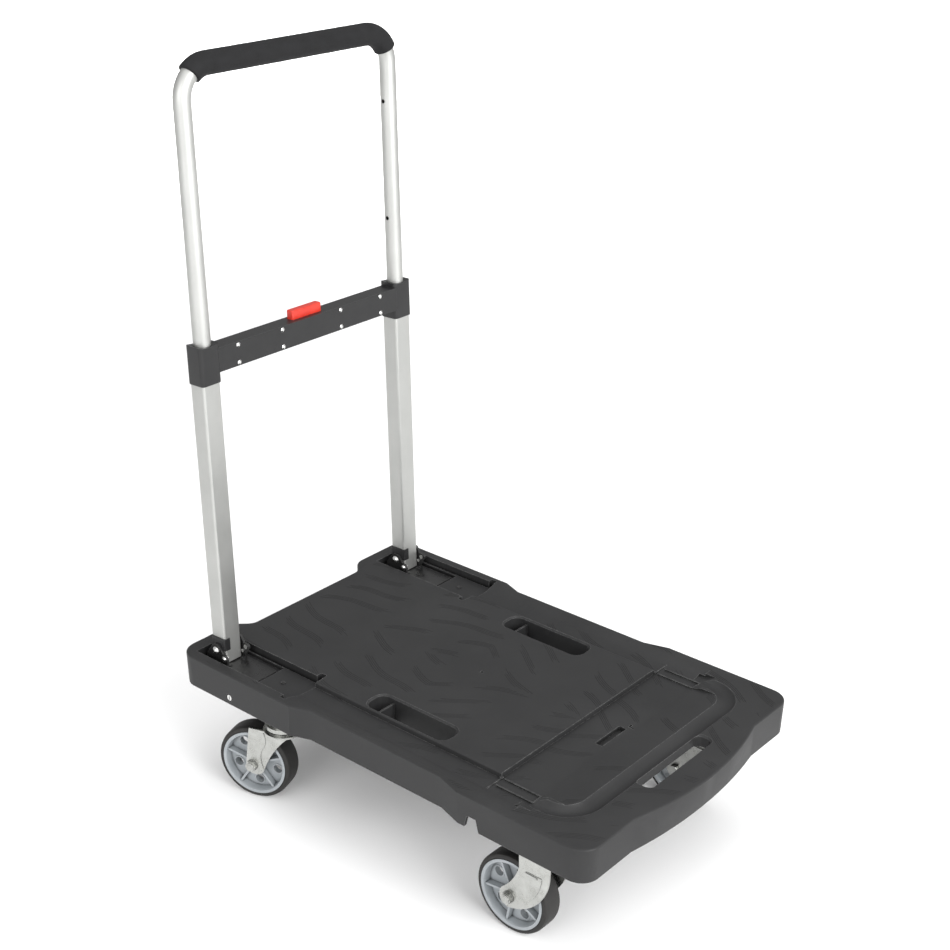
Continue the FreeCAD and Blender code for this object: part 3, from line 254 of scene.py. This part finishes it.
def eased(node, width, segments=2, angle=34.0):
    """The CAD node again, with small real bevels on its sharp edges."""
    obj = mesh_object(node + "_skin", welded(node), angle)
    for name in [a.name for a in obj.data.attributes if a.name == "custom_normal"]:
        obj.data.attributes.remove(obj.data.attributes[name])
    bevel = obj.modifiers.new("edges", "BEVEL")
    bevel.width = width
    bevel.segments = segments
    bevel.limit_method = "ANGLE"
    bevel.angle_limit = math.radians(angle)
    bevel.use_clamp_overlap = True
    bevel.harden_normals = True
    return keep(obj, BODY_OF[node], SLOT_OF[node], [node])


def plain(node):
    """A CAD node kept as it is, with its finish."""
    obj = NODES[node]
    obj.data.materials.clear()
    obj.data.materials.append(MATERIALS[SLOT_OF[node]])


EDGE_WIDTHS = {
    "deck": 0.0009, "crossbar": 0.0008, "crossbar_cover": 0.0003, "release_button": 0.0003,
    "post": 0.0003, "post_shoe": 0.0003, "hinge_bracket": 0.0005, "hinge_bar": 0.0005, "front_fork": 0.0004,
    "swivel_fork": 0.0004, "front_nut": 0.0004, "rear_nut": 0.0004, "front_axle": 0.0004, "rear_axle": 0.0004,
    "front_rim": 0.0005, "rear_rim": 0.0005, "front_tyre": 0.0005, "rear_tyre": 0.0005, "rear_plate": 0.0004,
    "swivel_race": 0.0004,
}
RING_FACED = {"front_tyre", "rear_tyre", "front_nut", "rear_nut", "front_rim", "rear_rim", "swivel_race"}


def kind_of(node):
    for side in SIDES:
        if node.endswith("_" + side):
            return node[: -len(side) - 1]
    return node


SKIRT_DEPTH = 5 * MM


def deck_screws():
    """The bright screws in the skirts and the blackened ones in the hinge bays."""
    skirt_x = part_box("deck_screws")[1].x - SKIRT_DEPTH
    pieces = []
    for name, finish, outer in (("skirt_screws", "bright_steel", True), ("bay_screws", "black_steel", False)):
        bm = bmesh.new()
        bm.from_mesh(NODES["deck_screws"].data)
        unwanted = [v for v in bm.verts if (abs(v.co.x) > skirt_x) != outer]
        bmesh.ops.delete(bm, geom=unwanted, context="VERTS")
        pieces.append((mesh_object(name, bm), finish))
    for obj, finish in pieces:
        keep(obj, "platform", "bright_steel", ["deck_screws"], finish)


MADE_BELOW = {"foam_grip", "deck_screws", "button_spring"}

deck_screws()
for node in sorted(NODES):
    if node in MADE_BELOW:
        continue
    if kind_of(node) in EDGE_WIDTHS:
        eased(node, EDGE_WIDTHS[kind_of(node)])
    else:
        plain(node)


# ---------------------------------------------------------------- anti-slip lines on the deck
def deck_tree():
    bm = bmesh.new()
    bm.from_mesh(NODES["deck"].data)
    bmesh.ops.triangulate(bm, faces=bm.faces)
    tree = BVHTree.FromBMesh(bm)
    bm.free()
    return tree


SUNK = Vector((0, 0, 0.00005))     # how far a rib's feet stand inside the deck
END_SQUEEZE = 0.3                  # width of a rib's end, of its full width


def ridge(bm, points, width, height):
    """A low rib with sloping sides along a line of points."""
    rows = []
    last = len(points) - 1
    for i, p in enumerate(points):
        along = (points[min(i + 1, last)] - points[max(i - 1, 0)]).normalized()
        across = Vector((along.y, -along.x, 0)).normalized()
        at_end = i in (0, last)
        squeeze = END_SQUEEZE if at_end else 1.0
        crest = Vector((0, 0, 0.0 if at_end else height))
        rows.append([bm.verts.new(p - across * width / 2 * squeeze - SUNK),
                     bm.verts.new(p - across * width / 5 * squeeze + crest),
                     bm.verts.new(p + across * width / 5 * squeeze + crest),
                     bm.verts.new(p + across * width / 2 * squeeze - SUNK)])
    for r, s in zip(rows, rows[1:]):
        for k in range(3):
            bm.faces.new((r[k], r[k + 1], s[k + 1], s[k]))


LINES = 4                          # ribs in a bundle
LINE_PITCH = 2.9 * MM
LINE_STEP = 3 * MM
LINE_WIDTH = 0.8 * MM
LINE_HEIGHT = 0.22 * MM
SWAY = 4.5 * MM                    # half width of a rib's S shape
SWAY_LENGTH = 110 * MM
COLUMNS = 12
COLUMN_PITCH = 38 * MM
TURN_Y = 38 * MM                   # the bundles run outward behind this and inward ahead of it
OUTWARD = math.tan(math.radians(17))
INWARD = math.tan(math.radians(28))


def drift(y):
    """How far a column of bundles has moved outward at y, counted from the turning line."""
    if y > TURN_Y:
        return -(y - TURN_Y) * OUTWARD
    return -(TURN_Y - y) * INWARD


ABOVE_DECK = 250 * MM
LOWEST_RIB = 170 * MM              # ribs are only on the deck's top levels
LEVEL = 0.97                       # upward part of the normal where a rib may stand
DECK_STEP = 0.9 * MM
MIDDLE_GAP = 3 * MM


def slip_line(bm, tree, side, base, start, length, phase):
    """One rib of a bundle, dropped onto the deck and broken where the deck steps."""
    run = []
    runs = [run]
    for k in range(int(length / LINE_STEP)):
        y = start - k * LINE_STEP
        x = base + drift(y) + SWAY * math.sin(2 * math.pi * y / SWAY_LENGTH + phase)
        hit, normal, _, _ = tree.ray_cast(Vector((side * x, y, ABOVE_DECK)), Vector((0, 0, -1)))
        usable = x > MIDDLE_GAP and hit is not None and normal.z > LEVEL and hit.z > LOWEST_RIB
        if not usable or (run and abs(run[-1].z - hit.z) > DECK_STEP):
            run = []
            runs.append(run)
        if usable:
            run.append(hit)
    for run in runs:
        if len(run) > 3:
            ridge(bm, run, LINE_WIDTH, LINE_HEIGHT)


def slip_lines():
    """Bundles of four fine S-shaped ribs along zigzag columns, mirrored about the deck's middle."""
    random.seed(5)
    tree = deck_tree()
    bm = bmesh.new()
    lo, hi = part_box("deck")
    for column in range(COLUMNS):
        base = (column + 0.35) * COLUMN_PITCH
        y = hi.y - random.uniform(8, 40) * MM
        while y > lo.y + 20 * MM:
            length = random.uniform(50, 110) * MM
            phase = random.uniform(0, 2 * math.pi)
            for line in range(LINES):
                start = y - random.uniform(0, 12) * MM
                for side in SIDES.values():
                    slip_line(bm, tree, side, base + line * LINE_PITCH, start, length, phase)
            y -= length + random.uniform(20, 70) * MM
    obj = mesh_object("anti_slip_lines", bm, 60)
    # The ribs take a darker finish than the deck, as painted shade along them.
    return keep(obj, "platform", "deck_plastic", finish="slip_rib_painted_shade")


slip_lines()


# ---------------------------------------------------------------- foam grip
HANDLE_X = 165.2 * MM
GRIP_AXIS = 714.9 * MM             # along the handle from the hinge pin
BEND_R = 38 * MM
GRIP_R = 13.9 * MM
TUBE_R = 10.55 * MM
GRIP_SWEEP = {-1: math.radians(41), 1: math.radians(63)}
PIVOT = Vector((0, 283.5 * MM, 183.8 * MM))
LEAN = math.radians(1.87)
LIP = 1.6 * MM
GRIP_RINGS = 300
GRIP_SPOKES = 56
SAG = 0.22 * MM                    # depth of the sleeve's slow unevenness
PIT = 0.16 * MM                    # depth of its finest pits


def on_handle(x, out, along):
    """A point given in the standing handle's plane."""
    return PIVOT + Vector((x, along * math.sin(LEAN) + out * math.cos(LEAN),
                           along * math.cos(LEAN) - out * math.sin(LEAN)))


def grip_section(s, half_run):
    """Centre and outward direction, in the handle's plane, at arc length s from the middle."""
    side = 1 if s > 0 else -1
    angle = max(abs(s) - half_run, 0.0) / BEND_R
    x = side * (min(abs(s), half_run) + BEND_R * math.sin(angle))
    along = GRIP_AXIS - BEND_R * (1 - math.cos(angle))
    return x, along, side * math.sin(angle), math.cos(angle)


def on_section(section, angle, radius):
    """A point of a cross-section, at an angle and a distance from the tube's axis."""
    x, along, nx, na = section
    outward = math.cos(angle) * radius
    return on_handle(x + nx * outward, math.sin(angle) * radius, along + na * outward)


def skin_radius(section, angle, shrink):
    """The sleeve's radius at an angle, less its lip, its unevenness and its pits."""
    centre = on_handle(section[0], 0, section[1])
    probe = centre + Vector((0, math.cos(angle), math.sin(angle))) * GRIP_R
    sag = SAG * (0.5 + 0.5 * field.noise(probe * 45))
    pit = PIT * max(field.noise(probe * 900), 0.0)
    return GRIP_R - shrink - sag - pit


def join_loops(bm, near, far):
    for j in range(len(near)):
        k = (j + 1) % len(near)
        bm.faces.new((near[j], near[k], far[k], far[j]))


def foam_grip():
    """Foam sleeve with rounded lips and a faintly uneven, pitted skin."""
    half_run = HANDLE_X - BEND_R
    first = -half_run - BEND_R * GRIP_SWEEP[-1]
    last = half_run + BEND_R * GRIP_SWEEP[1]
    angles = [2 * math.pi * j / GRIP_SPOKES for j in range(GRIP_SPOKES)]
    stations = [first + (last - first) * i / (GRIP_RINGS - 1) for i in range(GRIP_RINGS)]
    bm = bmesh.new()
    loops = []
    for s in stations:
        section = grip_section(s, half_run)
        to_end = min((s - first) / LIP, (last - s) / LIP, 1.0)
        shrink = (1 - math.sqrt(max(1 - (1 - to_end) ** 2, 0.0))) * LIP
        loops.append([bm.verts.new(on_section(section, a, skin_radius(section, a, shrink))) for a in angles])
    for near, far in zip(loops, loops[1:]):
        join_loops(bm, near, far)
    for s, loop in ((stations[0], loops[0]), (stations[-1], loops[-1])):
        section = grip_section(s, half_run)
        join_loops(bm, loop, [bm.verts.new(on_section(section, a, TUBE_R)) for a in angles])
    bmesh.ops.recalc_face_normals(bm, faces=bm.faces)
    grip = keep(mesh_object("foam_sleeve", bm, 70), "upper_handle", "foam", ["foam_grip"])


foam_grip()


# ---------------------------------------------------------------- spring under the button
def return_spring():
    """The button's spring, copied from its CAD node onto the lower handle."""
    obj = bpy.data.objects.new("return_spring", NODES["button_spring"].data.copy())
    keep(obj, "lower_handle", SLOT_OF["button_spring"], ["button_spring"])
    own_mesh(obj)


return_spring()


# ---------------------------------------------------------------- floor, light and camera
def stage_floor():
    bm = bmesh.new()
    bmesh.ops.create_grid(bm, x_segments=1, y_segments=1, size=12.0)
    obj = mesh_object("floor", bm)
    bpy.context.scene.collection.objects.link(obj)
    mat, tree, shader = new_material("floor_paper")
    shader.inputs["Base Color"].default_value = (0.93, 0.93, 0.93, 1)
    shader.inputs["Roughness"].default_value = 0.9
    obj.data.materials.append(mat)


def area_light(name, location, target, size, energy):
    data = bpy.data.lights.new(name, "AREA")
    data.shape = "SQUARE"
    data.size = size
    data.energy = energy
    obj = bpy.data.objects.new(name, data)
    bpy.context.scene.collection.objects.link(obj)
    obj.location = location
    obj.rotation_mode = "QUATERNION"
    obj.rotation_quaternion = (Vector(target) - Vector(location)).to_track_quat("-Z", "Y")


def studio():
    """Bright in front of the cart and dimmer behind it, like a white cove with its lights at the front."""
    world = bpy.data.worlds.new("studio")
    world.use_nodes = True
    tree = world.node_tree
    direction = add(tree, "ShaderNodeTexCoord").outputs["Generated"]
    towards = add(tree, "ShaderNodeVectorMath", operation="DOT_PRODUCT")
    tree.links.new(direction, towards.inputs[0])
    towards.inputs[1].default_value = (-0.45, -0.85, 0.25)
    strength = ramp(tree, towards.outputs["Value"], -1.0, 1.0, 0.35, 1.25)
    background = tree.nodes["Background"]
    background.inputs["Color"].default_value = (1, 1, 1, 1)
    tree.links.new(strength, background.inputs["Strength"])
    bpy.context.scene.world = world
    area_light("key", (-0.5, -3.6, 1.9), (0, 0, 0.25), 2.6, 150)
    area_light("fill", (-3.3, -0.4, 1.6), (0, 0, 0.3), 2.2, 45)
    area_light("top", (0.2, 0.2, 3.6), (0, 0, 0.3), 2.6, 30)
    area_light("backdrop", (2.4, 2.6, 3.0), (6.5, 6.0, 0), 3.0, 420)
    bpy.context.scene.view_settings.view_transform = "Standard"


CAMERA_PLACE = (-1.3612, -1.1235, 1.2414)
CAMERA_AIM = (0.6986, 0.5860, -0.4105)
CAMERA_ROLL = 0.61


def camera():
    data = bpy.data.cameras.new("camera")
    data.sensor_width = 36.0
    data.lens = 63.12
    data.clip_start = 0.05
    data.clip_end = 60.0
    obj = bpy.data.objects.new("camera", data)
    bpy.context.scene.collection.objects.link(obj)
    forward = Vector(CAMERA_AIM).normalized()
    right = forward.cross(Vector((0, 0, 1))).normalized()
    up = right.cross(forward)
    roll = math.radians(CAMERA_ROLL)
    right, up = (right * math.cos(roll) + up * math.sin(roll), up * math.cos(roll) - right * math.sin(roll))
    turn = Matrix((right, up, -forward)).transposed()
    obj.matrix_world = Matrix.Translation(CAMERA_PLACE) @ turn.to_4x4()
    bpy.context.scene.camera = obj


stage_floor()
studio()
camera()
